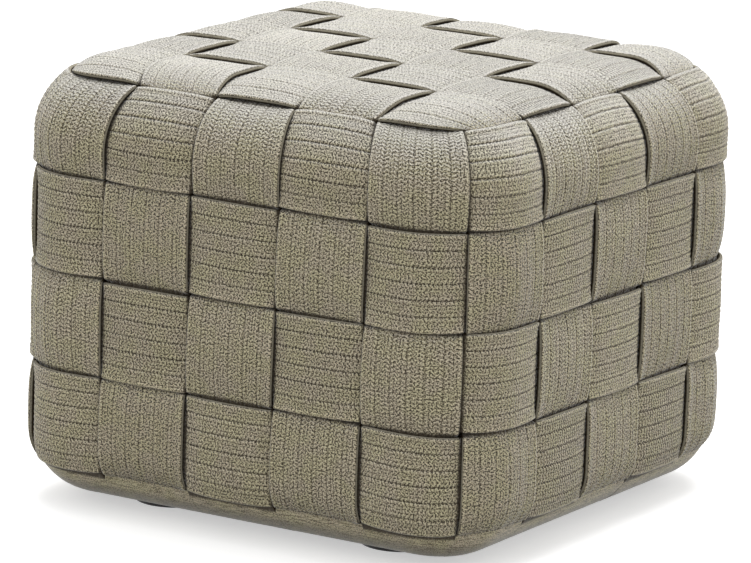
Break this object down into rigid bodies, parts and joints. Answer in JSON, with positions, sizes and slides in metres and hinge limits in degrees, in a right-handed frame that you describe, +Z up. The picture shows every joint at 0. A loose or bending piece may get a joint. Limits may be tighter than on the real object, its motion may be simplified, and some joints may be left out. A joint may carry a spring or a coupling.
{
  "type": "outdoor ottoman footstool",
  "caption": "Square, soft-cornered outdoor footstool: a foam block covered all round by a plain basket weave of wide braided bands, on low glides.",
  "frame": {"origin": "on the floor, under the middle of the footstool", "axes": "+Z up; +X to the right and -Y to the front, as seen from the front"},
  "size_m": [0.4796, 0.4796, 0.3918],
  "materials": {
    "woven_band": "matte",
    "liner_cloth": "matte",
    "foam": "matte",
    "board": "matte",
    "base_cloth": "matte",
    "glide": "satin",
    "screw": "satin"
  },
  "bodies": {
    "root": {"lengthwise_band_1": "woven_band", "lengthwise_band_2": "woven_band", "lengthwise_band_3": "woven_band", "lengthwise_band_4": "woven_band", "lengthwise_band_5": "woven_band", "crosswise_band_1": "woven_band", "crosswise_band_2": "woven_band", "crosswise_band_3": "woven_band", "crosswise_band_4": "woven_band", "crosswise_band_5": "woven_band", "ring_band_1": "woven_band", "ring_band_2": "woven_band", "ring_band_3": "woven_band", "ring_band_4": "woven_band", "liner": "liner_cloth", "foam_core": "foam", "base_board": "board", "base_cloth": "base_cloth", "glide_front_left": "glide", "glide_front_right": "glide", "glide_back_left": "glide", "glide_back_right": "glide", "glide_screw_front_left": "screw", "glide_screw_front_right": "screw", "glide_screw_back_left": "screw", "glide_screw_back_right": "screw"}
  },
  "joints": []
}
